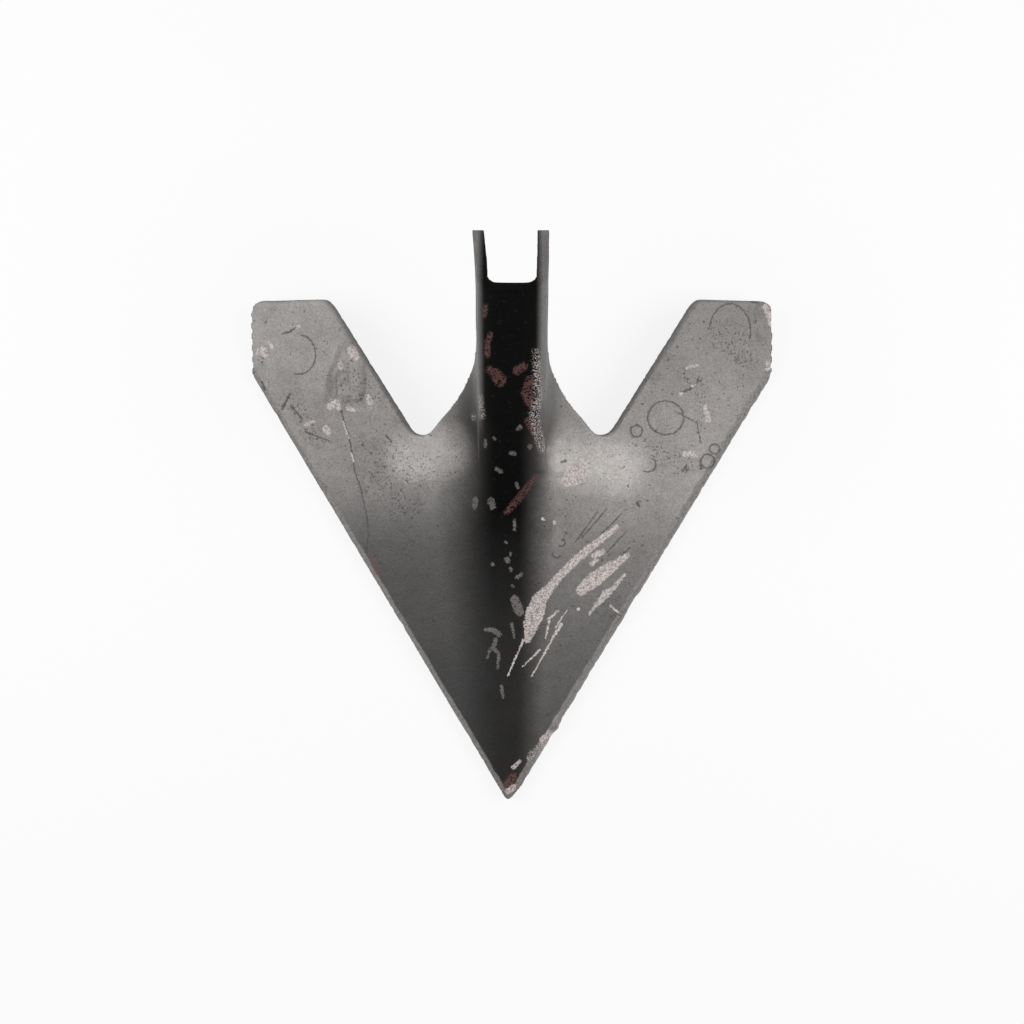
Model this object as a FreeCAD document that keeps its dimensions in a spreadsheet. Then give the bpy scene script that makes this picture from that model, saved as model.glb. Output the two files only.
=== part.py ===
import FreeCAD, Part
import math
import os
import Sketcher
from FreeCAD import Vector

os.makedirs("parts", exist_ok=True)

doc = FreeCAD.newDocument("knock_on_sweep")

# ---------------------------------------------------------------- sizes
# Millimetres and degrees.  The share points along -Y, +Z is up and the
# cutting edges lie in the plane Z = 0.
SIZES = [
    ("plate_thick", 6.35, "thickness of the pressed plate"),
    ("span", 297.5, "over the two wing sides"),
    ("edge_half_angle", 31.0, "cutting edge to centre line"),
    ("ridge_slope", 0.21, "rise of the wing planes along the centre line, mm per mm"),
    ("wing_rear", 287.2, "nominal point to the rear edge of the wings"),
    ("notch_run", 14.8, "root of the socket forward to the bottom of the notch"),
    ("notch_angle", 32.0, "inner edge of a wing to the centre line"),
    ("notch_round", 9.0, "radius at the bottom of the notch"),
    ("rear_inner_round", 8.0, "corner radius between rear edge and notch"),
    ("rear_corner_round", 7.0, "corner radius between rear edge and wing side"),
    ("trim_allowance", 14.0, "plate left outside the cutting edges before the cut"),
    ("worn_tip_side", 3.2, "how far the worn point stands left of the centre line"),
    ("blunt_side", 4.6, "centre line to where the blunted point meets the right edge"),
    ("blunt_back", 11.3, "nominal point back to that spot"),
    ("left_edge_worn", 1.4, "how far back of its first corner the left edge meets the side"),
    ("left_grind_wide", 1.2, "left edge grind, measured on the top of the plate"),
    ("left_grind_deep", 3.0, "left edge grind, measured down the edge"),
    ("right_grind_wide", 3.0, "right edge grind, measured on the top of the plate"),
    ("right_grind_deep", 3.4, "right edge grind, measured down the edge"),
    ("tear_deep", 1.7, "depth of the torn place on the left wing"),
    ("lap_deep", 1.3, "depth of the gap around the lap beside it"),
    ("bruise_side", 4.0, "wing side to the middle of the blow on the right rear corner"),
    ("bruise_back", 10.0, "rear edge to the middle of that blow"),
    ("bruise_radius", 16.0, "radius of that blow"),
    ("bruise_deep", 1.5, "depth of its print"),
    ("nick_radius", 2.6, "radius of the nick in the right cutting edge"),
    ("nick_deep", 1.0, "depth of the nick, measured from the edge"),
    ("nick_along", 34.0, "start of the right edge to the nick, along the edge"),
    ("cut_long", 380.0, "length of the edge cuts"),
    ("cut_ahead", 60.0, "how far the edge cuts start ahead of the worn point"),
    ("cut_wide", 40.0, "width of the edge cuts"),
    ("cut_high", 40.0, "height of the edge cuts"),
    ("cut_past", 10.0, "how far the edge cuts run past the plate"),
    ("nose_front", -9.0, "start of the pressed ridge, ahead of the point"),
    ("nose_half", 15.0, "centre line to the wing's inner side, at that start"),
    ("nose_touch", 3.0, "centre line to where the ridge round meets the wing, at that start"),
    ("nose_guide", 8.2, "half width of the guide point beside the ridge, at that start"),
    ("crease_along", 167.0, "nominal point to the crease below the socket"),
    ("crease_touch", 22.4, "centre line to where the ridge round meets the wing planes there"),
    ("crease_guide", 20.7, "half width of the guide point beside the ridge there"),
    ("bend_radius", 32.0, "radius of the bend at the crease"),
    ("fan_start", -62.0, "crease to the last upright section, along the ridge"),
    ("fan_half", 24.0, "centre line to the wing's inner side at that section"),
    ("fan_blend", 32.0, "length over which the sections leave the cone of the ridge"),
    ("flat_end", -14.0, "crease to where the crown flat starts to form"),
    ("waist_start", -6.0, "crease to where the sections start drawing in"),
    ("root_along", 31.0, "crease to the section where the wings leave"),
    ("root_half", 43.0, "half width of the root there"),
    ("root_guide", 33.5, "half width of the guide point next to it"),
    ("root_foot", 23.0, "half width of the foot of the wall there"),
    ("foot_share", 0.16, "share by which the foot of the wall clears the wing"),
    ("foot_end", 56.0, "crease to where the foot has left the wing plane"),
    ("shoulder_rise", -30.0, "crease to where the shoulder starts to rise off the wing"),
    ("shoulder_set", 14.0, "crease to where the shoulder has risen"),
    ("corner_rise", -26.0, "crease to where the rounded corner starts to rise"),
    ("corner_set", 24.0, "crease to where the rounded corner has risen"),
    ("wall_rise", -20.0, "crease to where the upper wall starts to rise"),
    ("wall_set", 28.0, "crease to where the upper wall has risen"),
    ("foot_rise", -14.0, "crease to where the lower wall starts to rise"),
    ("foot_set", 28.0, "crease to where the lower wall has risen"),
    ("settle_after", 20.0, "length a wall point rises before it settles at its depth"),
    ("soften", 6.0, "height over which a wall point settles at its depth"),
    ("guide_draw", 74.0, "crease to where the edge guide reaches the wall"),
    ("flare_draw", 88.0, "crease to where the foot reaches the channel wall"),
    ("flare_end", 97.0, "crease to the end of the flare"),
    ("flare_power", 2.4, "how fast the free edge draws in"),
    ("flare_blend", 32.0, "length over which the sections settle on the plain channel"),
    ("socket_angle", 50.0, "socket axis above the base plane"),
    ("socket_long", 176.5, "crease to the end of the socket"),
    ("socket_deep", 46.0, "crown to the free edges of the channel"),
    ("crown_half", 18.4, "half width of the channel at the crown"),
    ("rear_half", 19.6, "half width of the channel at the free edges"),
    ("corner_round", 12.0, "outside corner radius of the channel"),
    ("crown_flat", 6.0, "half width of the guide point on the flat of the crown"),
    ("shoulder_half", 13.5, "half width of the guide point at the shoulder"),
    ("shoulder_drop", 0.4, "drop of the crown to its shoulder"),
    ("corner_drop", 7.0, "depth of the guide point at the rounded corner"),
    ("wall_high", 15.0, "depth of the upper wall guide point"),
    ("wall_low", 27.0, "depth of the lower wall guide point"),
    ("wall_edge", 36.0, "depth of the guide point next to the free edge"),
    ("origin_along", 159.15, "nominal point to the middle of the footprint"),
]

sheet = doc.addObject("Spreadsheet::Sheet", "sizes")
sheet.Label = "sizes"
for row, (name, value, note) in enumerate(SIZES, start=1):
    sheet.set("A%d" % row, name)
    sheet.set("B%d" % row, repr(value))
    sheet.set("C%d" % row, note)
    sheet.setAlias("B%d" % row, name)
doc.recompute()


def size(name):
    return float(sheet.get(name))


# ---------------------------------------------------------------- wing planes
thick = size("plate_thick")
slope_back = size("ridge_slope")
edge_ratio = math.tan(math.radians(size("edge_half_angle")))
slope_side = slope_back / edge_ratio
plane_length = math.sqrt(1.0 + slope_back ** 2 + slope_side ** 2)
top_lift = thick * plane_length
lean = math.radians(size("socket_angle"))
half_span = size("span") / 2.0
root_half = size("root_half")
socket_deep = size("socket_deep")


def wing_height(x, y):
    """Height of the top of the wings above the base plane."""
    return top_lift + slope_back * y - slope_side * abs(x)


def on_wing(side, x, y):
    return Vector(side * x, y, wing_height(x, y))


def wing_normal(side):
    """Upward normal of a wing; side is -1 for left and +1 for right."""
    return Vector(side * slope_side, -slope_back, 1.0) / plane_length


def smooth_step(value, low, high):
    part = min(1.0, max(0.0, (value - low) / (high - low)))
    return part ** 3 * (part * (part * 6.0 - 15.0) + 10.0)


def smooth_max(first, second, reach):
    near = max(reach - abs(first - second), 0.0) / reach
    return max(first, second) + near * near * reach / 4.0


# ---------------------------------------------------------------- ridge of the nose
# The ridge is rounded by a cone that touches both wings, its tip on their ridge line.
crease_y = size("crease_along")
front_y = size("nose_front")
round_rate = (size("crease_touch") - size("nose_touch")) / (crease_y - front_y)
apex_y = front_y - size("nose_touch") / round_rate
outer_apex = Vector(0.0, apex_y, wing_height(0.0, apex_y))
touch_way = Vector(round_rate, 1.0, slope_back - slope_side * round_rate)
touch_way = touch_way / touch_way.Length
cone_axis = touch_way - wing_normal(1) * (touch_way.x / wing_normal(1).x)
cone_axis = cone_axis / cone_axis.Length
cone_angle = math.acos(cone_axis.dot(touch_way))
inner_apex = outer_apex + cone_axis * (thick / math.sin(cone_angle))
inner_shift = thick * slope_back / plane_length


def roof_height(x, y, apex):
    """Height of two wing planes with the cone between them, from the cone's tip."""
    back = y - apex.y
    plane = slope_back * back - slope_side * abs(x)
    if abs(x) >= round_rate * back:
        return apex.z + plane
    narrow = math.cos(cone_angle) ** 2
    first = cone_axis.z ** 2 - narrow
    second = 2.0 * back * cone_axis.y * cone_axis.z
    third = (back * cone_axis.y) ** 2 - narrow * (x * x + back * back)
    root = math.sqrt(second * second - 4.0 * first * third)
    rises = [(root - second) / (2.0 * first), (-root - second) / (2.0 * first)]
    return apex.z + min(rises, key=lambda rise: abs(rise - plane))


# ---------------------------------------------------------------- crown line
crease_point = Vector(0.0, crease_y, roof_height(0.0, crease_y, outer_apex))
nose_run = crease_point - Vector(0.0, front_y, roof_height(0.0, front_y, outer_apex))
nose_long = nose_run.Length
nose_way = nose_run / nose_long
nose_lean = math.atan2(nose_way.z, nose_way.y)
socket_way = Vector(0.0, math.cos(lean), math.sin(lean))
bend_turn = lean - nose_lean
bend_radius = size("bend_radius")
bend_reach = bend_radius * math.tan(bend_turn / 2.0)


def crown_point(along):
    """Point of the crown line; along is 0 at the crease, minus on the nose."""
    if along <= -bend_reach:
        return crease_point + nose_way * along
    if along >= bend_reach:
        return crease_point + socket_way * along
    angle = nose_lean + bend_turn * (along + bend_reach) / (2.0 * bend_reach)
    start = crease_point - nose_way * bend_reach
    centre = start + Vector(0.0, -math.sin(nose_lean), math.cos(nose_lean)) * bend_radius
    return centre + Vector(0.0, math.sin(angle), -math.cos(angle)) * bend_radius


def section_tilt(along):
    """Tilt of the section plane: upright on the nose, square to the socket."""
    return lean * smooth_step(along, size("fan_start"), size("root_along"))


def section_point(along, x, high):
    """Point of a section at a half width and a height over the crown."""
    tilt = section_tilt(along)
    upright = Vector(0.0, -math.sin(tilt), math.cos(tilt))
    return crown_point(along) + Vector(x, 0.0, 0.0) + upright * high


def wing_depth(along, x):
    """Height of the wing plane over the crown, measured in the section."""
    crown = crown_point(along)
    tilt = section_tilt(along)
    over = wing_height(x, crown.y) - crown.z
    return over / (math.cos(tilt) + slope_back * math.sin(tilt))


# ---------------------------------------------------------------- seams with the wings
fan_start = size("fan_start")
root_along = size("root_along")
flare_end = size("flare_end")
fan_y = crown_point(fan_start).y
root_depth = wing_depth(root_along, root_half)
root_y = section_point(root_along, root_half, root_depth).y
nose_rate = (size("fan_half") - size("nose_half")) / (fan_y - front_y)
fan_rate = (root_half - size("fan_half")) / (root_y - fan_y)


def seam_half(along):
    """Half width of the pressed middle, on the straight runs of its seam."""
    crown = crown_point(along)
    if along <= fan_start:
        return size("nose_half") + nose_rate * (crown.y - front_y)
    tilt = section_tilt(along)
    shrink = math.cos(tilt) + slope_back * math.sin(tilt)
    over = (wing_height(0.0, crown.y) - crown.z) / shrink
    reach = crown.y - over * math.sin(tilt) - fan_y
    stretch = fan_rate * math.sin(tilt) * slope_side / shrink
    return (size("fan_half") + fan_rate * reach) / (1.0 - stretch)


# ---------------------------------------------------------------- section guide points
def wall_half(depth):
    """Half width of the channel at a depth below the crown."""
    part = depth / socket_deep
    return size("crown_half") + (size("rear_half") - size("crown_half")) * part


# Guide points of half a channel section: half width and height over the crown.
SOCKET = [
    (0.0, 0.0),
    (size("crown_flat"), 0.0),
    (size("shoulder_half"), -size("shoulder_drop")),
    (wall_half(size("corner_drop")), -size("corner_drop")),
    (wall_half(size("wall_high")), -size("wall_high")),
    (wall_half(size("wall_low")), -size("wall_low")),
    (wall_half(size("wall_edge")), -size("wall_edge")),
    (wall_half(socket_deep), -socket_deep),
]
CORNER, FOOT, EDGE = 2, 5, 6
NOSE_SHARES = {2: 0.0, 3: 0.22, 4: 0.42, 5: 0.62, 6: 0.8}
LIFTS = {
    2: (size("shoulder_rise"), size("shoulder_set")),
    3: (size("corner_rise"), size("corner_set")),
    4: (size("wall_rise"), size("wall_set")),
    5: (size("foot_rise"), size("foot_set")),
}


def lift_share(number):
    """Share of the wing depth that a guide point has left at the root."""
    if number == FOOT:
        return size("foot_share")
    x, high = SOCKET[number]
    return 1.0 - high / wing_depth(root_along, x)


def guide_half(number, along):
    """Half width of a guide point: between ridge and seam, then root, then channel."""
    channel = SOCKET[number][0]
    root = {FOOT: size("root_foot"), EDGE: size("root_guide")}.get(number, channel)
    if along > root_along:
        last = size("guide_draw") if number == EDGE else size("flare_draw")
        return root + (channel - root) * smooth_step(along, root_along, last)
    part = (along + nose_long) / nose_long
    near = size("nose_guide") + (size("crease_guide") - size("nose_guide")) * part
    nose = near + (seam_half(along) - near) * NOSE_SHARES[number]
    return nose + (root - nose) * smooth_step(along, size("waist_start"), root_along)


def crown_guide(along):
    """The crown flat grows from the ridge round into the channel's."""
    part = min(1.0, (along + nose_long) / nose_long)
    touch = size("nose_touch") + (size("crease_touch") - size("nose_touch")) * part
    grown = smooth_step(along, size("flat_end"), root_along)
    return touch / 2.0 + (size("crown_flat") - touch / 2.0) * grown


def edge_guide(along):
    """End of the half section: the seam with the wing, then the free edge."""
    if along <= root_along:
        half = seam_half(along)
        return (half, wing_depth(along, half))
    left = max(0.0, (flare_end - along) / (flare_end - root_along))
    x, high = SOCKET[-1]
    draw = left ** size("flare_power")
    drop = left ** edge_power
    return (x + (root_half - x) * draw, high + (root_depth - high) * drop)


def guide_points(along):
    """Guide points (half width, height over the crown) of half a section."""
    guides = [(0.0, 0.0), (crown_guide(along), 0.0)]
    for number in range(CORNER, EDGE):
        x = guide_half(number, along)
        rise, risen = LIFTS[number]
        lifted = smooth_step(along, rise, risen)
        high = wing_depth(along, x) * (1.0 - lift_share(number) * lifted)
        if along > rise + size("settle_after"):
            settle = min(size("soften"), -0.5 * SOCKET[number][1])
            high = smooth_max(high, SOCKET[number][1], settle)
        guides.append((x, high))
    x = guide_half(EDGE, along)
    off_plane = smooth_step(along, root_along, size("foot_end"))
    high = wing_depth(along, x) * (1.0 - off_plane) + SOCKET[EDGE][1] * off_plane
    guides.append((x, high))
    guides.append(edge_guide(along))
    return guides


# The free edge starts in the plane of the wing, so that the notch runs on.
draw_rate = (root_half - size("rear_half")) * size("flare_power") / (flare_end - root_along)
STEP_ON = 0.01
plane_rate = wing_depth(root_along + STEP_ON, root_half - draw_rate * STEP_ON) - root_depth
plane_rate = plane_rate / STEP_ON
edge_power = -plane_rate * (flare_end - root_along) / (socket_deep + root_depth)

KNOTS = [0, 1, 2, 3, 4, 5]
KNOT_COUNTS = [4, 1, 1, 1, 1, 4]
LAST = 5.0


def section_curve(along):
    """Right half of the outer section as a cubic spline through space."""
    poles = [section_point(along, x, high) for x, high in guide_points(along)]
    curve = Part.BSplineCurve()
    curve.buildFromPolesMultsKnots(poles, KNOT_COUNTS, KNOTS, False, 3)
    return curve


# ---------------------------------------------------------------- plain channel
corner_round = size("corner_round")
wall_flare = (size("rear_half") - size("crown_half")) / socket_deep
wall_length = math.hypot(1.0, wall_flare)
wall_out = (1.0 / wall_length, wall_flare / wall_length)
corner_centre = (size("crown_half") + corner_round * (wall_flare - wall_length), -corner_round)


def on_channel(x, high):
    """Nearest spot of the channel section, with the outward way there."""
    right, up = x - corner_centre[0], high - corner_centre[1]
    if right <= 0.0:
        return (x, 0.0), (0.0, 1.0)
    if up * wall_out[0] > right * wall_out[1]:
        reach = math.hypot(right, up)
        way = (right / reach, up / reach)
        return (corner_centre[0] + way[0] * corner_round,
                corner_centre[1] + way[1] * corner_round), way
    over = (x - size("rear_half")) * wall_out[0] + (high + socket_deep) * wall_out[1]
    return (x - wall_out[0] * over, high - wall_out[1] * over), wall_out


# ---------------------------------------------------------------- rows of points
STEPS = 16
SMALL = 0.02


def outer_row(along):
    curve = section_curve(along)
    return [curve.value(LAST * number / STEPS) for number in range(STEPS + 1)]


def normal_row(along):
    """Outward normals of a section, from the curve itself and a section close by."""
    near = along - SMALL if along <= root_along else along + SMALL
    curve = section_curve(along)
    other = section_curve(near)
    normals = []
    for number in range(STEPS + 1):
        place = LAST * number / STEPS
        across = Vector(1.0, 0.0, 0.0)
        if number > 0:
            across = curve.tangent(min(place, LAST - 1e-6))[0]
        run = (curve.value(place) - other.value(place)) * (along - near)
        normal = across.cross(run)
        normals.append(normal / normal.Length)
    if along <= root_along:
        normals[-1] = wing_normal(1)
    return normals


def plate_rows(along):
    """Outer and inner points of a section, a plate's thickness apart."""
    outer = outer_row(along)
    inner = [point - up * thick for point, up in zip(outer, normal_row(along))]
    return outer, inner


def nose_rows():
    """The rows at the fan's start, moved on to the planes and cones of the nose."""
    outer, inner = plate_rows(fan_start)
    for point in outer:
        point.z = roof_height(point.x, fan_y, outer_apex)
    for point in inner:
        point.y = fan_y + inner_shift
        point.z = roof_height(point.x, point.y, inner_apex)
    return outer, inner


def channel_rows():
    """The rows at the flare's end, moved on to the planes and rounds of the channel."""
    crown = crown_point(flare_end)
    upright = Vector(0.0, -math.sin(lean), math.cos(lean))
    outer, inner = [], []
    for point in outer_row(flare_end):
        spot, out = on_channel(point.x, (point - crown).dot(upright))
        outer.append(section_point(flare_end, *spot))
        inner.append(section_point(flare_end, spot[0] - out[0] * thick, spot[1] - out[1] * thick))
    return outer, inner


def row_moves(wanted, plain):
    return [[goal - start for goal, start in zip(goals, starts)]
            for goals, starts in zip(wanted, plain)]


nose_moves = row_moves(nose_rows(), plate_rows(fan_start))
channel_moves = row_moves(channel_rows(), plate_rows(flare_end))


def section_rows(along):
    """Outer and inner row, led in and out of the plain shapes at both ends."""
    from_nose = 1.0 - smooth_step(along, fan_start, fan_start + size("fan_blend"))
    to_channel = smooth_step(along, flare_end - size("flare_blend"), flare_end)
    rows = []
    for points, firsts, lasts in zip(plate_rows(along), nose_moves, channel_moves):
        rows.append([point + first * from_nose + last * to_channel
                     for point, first, last in zip(points, firsts, lasts)])
    return rows


def mirrored(row):
    left = [Vector(-point.x, point.y, point.z) for point in reversed(row[1:])]
    return left + row


def spread(low, high, count):
    return [low + (high - low) * number / count for number in range(count + 1)]


# ---------------------------------------------------------------- faces of the middle
def spline_through(points, places):
    curve = Part.BSplineCurve()
    curve.interpolate(Points=points, Parameters=places)
    return curve


def skin(rows, alongs):
    """Surface through the rows; neighbours that share a row match exactly."""
    places = [float(number) for number in range(2 * STEPS + 1)]
    sections = [spline_through(mirrored(row), places) for row in rows]
    columns = []
    for number in range(sections[0].NbPoles):
        column = [section.getPole(number + 1) for section in sections]
        columns.append(spline_through(column, alongs))
    surface = Part.BSplineSurface()
    surface.buildFromPolesMultsKnots(
        [column.getPoles() for column in columns],
        sections[0].getMultiplicities(), columns[0].getMultiplicities(),
        sections[0].getKnots(), columns[0].getKnots(), False, False, 3, 3)
    return surface


def flat_pair(*corners):
    """The flat face on these corners of the right half, and its mirror image."""
    right = list(corners)
    left = [Vector(-point.x, point.y, point.z) for point in corners]
    return [Part.Face(Part.makePolygon(ring + ring[:1])) for ring in (right, left)]


def skin_faces(alongs):
    """Outer and inner skin between two sections, and the two narrow side faces."""
    rows = [section_rows(along) for along in alongs]
    outer = skin([row[0] for row in rows], alongs)
    inner = skin([row[1] for row in rows], alongs)
    faces = [outer.toShape(), inner.toShape()]
    if alongs[-1] <= root_along:
        first, last = rows[0], rows[-1]
        return faces + flat_pair(first[0][-1], last[0][-1], last[1][-1], first[1][-1])
    for across in outer.bounds()[:2]:
        sides = [surface.uIso(across).toShape() for surface in (outer, inner)]
        faces.append(Part.makeRuledSurface(*sides))
    return faces


def touch_point(y, apex):
    x = round_rate * (y - apex.y)
    return Vector(x, y, roof_height(x, y, apex))


def cone_strip(apex, front, rear):
    """Both halves of a cone between the lines where it touches the wing planes."""
    reach = 1.5 * (rear - apex.y)
    cone = Part.makeCone(0.0, reach * math.tan(cone_angle), reach, apex, cone_axis)
    below = Vector(0.0, 0.0, 0.25 * thick)
    corners = [touch_point(y, apex) - below for y in (front, rear)]
    others = [Vector(-point.x, point.y, point.z) for point in reversed(corners)]
    ring = corners + others
    base = Part.Face(Part.makePolygon(ring + ring[:1]))
    strip = cone.Faces[0].common(base.extrude(Vector(0.0, 0.0, rear - front)))
    return sorted(strip.Faces, key=lambda face: face.CenterOfMass.x)


def end_arc(face, y):
    """The curved end of one half of a cone strip."""
    for edge in face.Edges:
        if all(abs(vertex.Point.y - y) < 1e-4 for vertex in edge.Vertexes):
            return edge
    raise RuntimeError("the ridge has no end at %g" % y)


def nose_faces():
    """Flat wings and cone of the nose, top and bottom, with the ends closed."""
    drop = wing_normal(1) * thick
    outer = cone_strip(outer_apex, front_y, fan_y)
    inner = cone_strip(inner_apex, front_y + inner_shift, fan_y + inner_shift)
    front_touch = touch_point(front_y, outer_apex)
    fan_touch = touch_point(fan_y, outer_apex)
    front_seam = on_wing(1, size("nose_half"), front_y)
    fan_seam = on_wing(1, size("fan_half"), fan_y)
    faces = outer + inner
    faces += flat_pair(front_touch, front_seam, fan_seam, fan_touch)
    faces += flat_pair(front_touch - drop, front_seam - drop, fan_seam - drop, fan_touch - drop)
    faces += flat_pair(front_seam, fan_seam, fan_seam - drop, front_seam - drop)
    faces += flat_pair(front_touch, front_seam, front_seam - drop, front_touch - drop)
    for top, bottom in zip(outer, inner):
        ends = [end_arc(top, front_y), end_arc(bottom, front_y + inner_shift)]
        faces.append(Part.makeRuledSurface(*ends))
    return faces


def channel_edges(sunk):
    """Right half of the channel section: crown line, corner round and wall line."""
    radius = corner_round - sunk
    slant = math.hypot(wall_out[0], wall_out[1] + 1.0)
    middle = (wall_out[0] / slant, (wall_out[1] + 1.0) / slant)
    ways = [(0.0, 1.0), middle, wall_out]
    arc = [section_point(flare_end, corner_centre[0] + way[0] * radius,
                         corner_centre[1] + way[1] * radius) for way in ways]
    crown = section_point(flare_end, 0.0, -sunk)
    free = section_point(flare_end, size("rear_half") - wall_out[0] * sunk,
                         -socket_deep - wall_out[1] * sunk)
    return [Part.makeLine(crown, arc[0]), Part.Arc(*arc).toShape(), Part.makeLine(arc[2], free)]


def channel_faces():
    """The straight channel: planes and cylinders drawn along the socket, and its rim."""
    way = socket_way * (size("socket_long") - flare_end)
    halves = [channel_edges(0.0), channel_edges(thick)]
    faces = []
    ring = []
    for edges in halves:
        for edge in edges:
            twin = edge.mirror(Vector(0.0, 0.0, 0.0), Vector(1.0, 0.0, 0.0))
            for piece in (edge, twin):
                faces.append(piece.extrude(way))
                ring.append(piece.translated(way))
    free = [edges[-1].Vertexes[-1].Point for edges in halves]
    faces += flat_pair(free[0], free[1], free[1] + way, free[0] + way)
    for side in (1.0, -1.0):
        rim = [Vector(point.x * side, point.y, point.z) + way for point in free]
        ring.append(Part.makeLine(*rim))
    faces.append(Part.Face(Part.Wire(Part.__sortEdges__(ring))))
    return faces


FAN_ROWS = 14
FLARE_ROWS = 10
faces = nose_faces() + channel_faces()
faces += skin_faces(spread(fan_start, root_along, FAN_ROWS))
faces += skin_faces(spread(root_along, flare_end, FLARE_ROWS))

# The skins meet the planes and cones to within this distance, and are joined there.
JOIN_WITHIN = 0.03
joined_faces = faces[0].generalFuse(faces[1:], JOIN_WITHIN)[0].Faces
shell = Part.makeCompound(joined_faces)
shell.sewShape(0.001)
pressed = doc.addObject("Part::Feature", "pressed_middle")
pressed.Shape = Part.Solid(shell.Shells[0])
pressed.Placement = FreeCAD.Placement()


# ---------------------------------------------------------------- outlines on the wings
ridge_way = Vector(0.0, 1.0, slope_back)
ridge_way = ridge_way / ridge_way.Length


def wing_frame(side):
    """Ways in the top of a wing: square to the ridge line, along it, and up."""
    up_way = wing_normal(side)
    return ridge_way.cross(up_way), ridge_way, up_way


def rounded_ring(spots, radii):
    """Closed ring of lines, with arcs of the given radii at its corners."""
    count = len(spots)
    ways = [(spots[(number + 1) % count] - spots[number]).normalize() for number in range(count)]
    starts, stops, arcs = [], [], []
    for number in range(count):
        before, after = ways[number - 1], ways[number]
        turn = before.getAngle(after)
        cut = radii[number] * math.tan(turn / 2.0)
        start, stop = spots[number] - before * cut, spots[number] + after * cut
        if radii[number] > 0.0:
            inward = (after - before).normalize()
            reach = radii[number] / math.cos(turn / 2.0) - radii[number]
            arcs.append(Part.Arc(start, spots[number] + inward * reach, stop))
        starts.append(start)
        stops.append(stop)
    lines = [Part.LineSegment(stops[number], starts[(number + 1) % count])
             for number in range(count)]
    return lines + arcs


def wing_sketch(name, side, corners, radii, lift):
    """A sketch of plan positions laid on the top of a wing, or lifted off it."""
    right_way, along_way, up_way = wing_frame(side)
    start = on_wing(side, 0.0, 0.0)
    spots = []
    for x, y in corners:
        away = on_wing(side, x, y) - start
        spots.append(Vector(away.dot(right_way), away.dot(along_way), 0.0))
    sketch = doc.addObject("Sketcher::SketchObject", name)
    sketch.Placement = FreeCAD.Placement(
        start + up_way * lift, FreeCAD.Rotation(right_way, along_way, up_way, "ZXY"))
    pieces = rounded_ring(spots, radii)
    sketch.addGeometry(pieces, False)
    for first in range(len(pieces)):
        for second in range(first + 1, len(pieces)):
            for here in (1, 2):
                for there in (1, 2):
                    gap = sketch.getPoint(first, here) - sketch.getPoint(second, there)
                    if gap.Length < 1e-6:
                        link = Sketcher.Constraint("Coincident", first, here, second, there)
                        sketch.addConstraint(link)
    return sketch


def sunk_plate(name, sketch, length):
    """The outline of a sketch drawn down square into the plate."""
    plate = doc.addObject("Part::Extrusion", name)
    plate.Base = sketch
    plate.DirMode = "Normal"
    plate.Solid = True
    plate.Reversed = True
    plate.setExpression("LengthFwd", length)
    return plate


def wing(name, side):
    """One flat wing, its sides square to the plate."""
    back_rate = math.cos(lean) - plane_rate * math.sin(lean)
    run = size("notch_run") / math.hypot(draw_rate, back_rate)
    bottom = (root_half + draw_rate * run, root_y - back_rate * run)
    rear = size("wing_rear")
    inner = (bottom[0] + (rear - bottom[1]) * math.tan(math.radians(size("notch_angle"))), rear)
    side_start = half_span / edge_ratio - size("trim_allowance")
    corners = [(root_half, root_y), bottom, inner, (half_span, rear), (half_span, side_start),
               (size("nose_half"), front_y), (size("fan_half"), fan_y)]
    radii = [0.0, size("notch_round"), size("rear_inner_round"), size("rear_corner_round"),
             0.0, 0.0, 0.0]
    sketch = wing_sketch(name + "_outline", side, corners, radii, 0.0)
    return sunk_plate(name, sketch, "sizes.plate_thick")


blank = doc.addObject("Part::MultiFuse", "pressed_blank")
blank.Shapes = [pressed, wing("left_wing", -1), wing("right_wing", 1)]


# ---------------------------------------------------------------- edge cuts
tip_side = size("worn_tip_side")
tip = Vector(-tip_side, tip_side / edge_ratio, 0.0)
blunt = Vector(size("blunt_side"), size("blunt_back"), 0.0)
left_corner = Vector(-half_span, half_span / edge_ratio + size("left_edge_worn"), 0.0)
right_corner = Vector(half_span, half_span / edge_ratio, 0.0)


def edge_ways(side, start, end):
    """Along a cut from its start to its end, and outwards in the plate."""
    way = (end - start).normalize()
    outward = wing_normal(side).cross(way) * -side
    return way, outward.normalize()


def turned_box(name, origin, way, width_way, inset, below):
    """A box whose length and width run along two ways of the share."""
    up_way = way.cross(width_way)
    box = doc.addObject("Part::Box", name)
    box.setExpression("Length", "sizes.cut_long")
    box.setExpression("Width", "sizes.cut_wide")
    box.setExpression("Height", "sizes.cut_high")
    corner = origin - way * size("cut_ahead") + width_way * inset + up_way * below
    box.Placement = FreeCAD.Placement(
        corner, FreeCAD.Rotation(way, width_way, up_way, "ZXY"))
    return box


def square_cut(name, side, start, end):
    """A cut square through the plate along a line from start to end."""
    way, outward = edge_ways(side, start, end)
    below = -size("cut_past") if side > 0 else size("cut_past") - size("cut_high")
    return turned_box(name, start, way, outward, 0.0, below)


def grind(name, side, start, end, wide, deep):
    """The bevel ground on top of a cut edge."""
    way, outward = edge_ways(side, start, end)
    inside = start + wing_normal(side) * thick - outward * wide
    down = (outward * wide - wing_normal(side) * deep).normalize()
    below = -size("cut_high") if side > 0 else 0.0
    return turned_box(name, inside, way, down, -size("cut_past"), below)


tools = [
    square_cut("left_edge_cut", -1, tip, left_corner),
    square_cut("right_edge_cut", 1, blunt, right_corner),
    square_cut("point_cut", 1, tip, blunt),
    grind("left_grind", -1, tip, left_corner, size("left_grind_wide"), size("left_grind_deep")),
    grind("right_grind", 1, blunt, right_corner,
          size("right_grind_wide"), size("right_grind_deep")),
]

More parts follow.
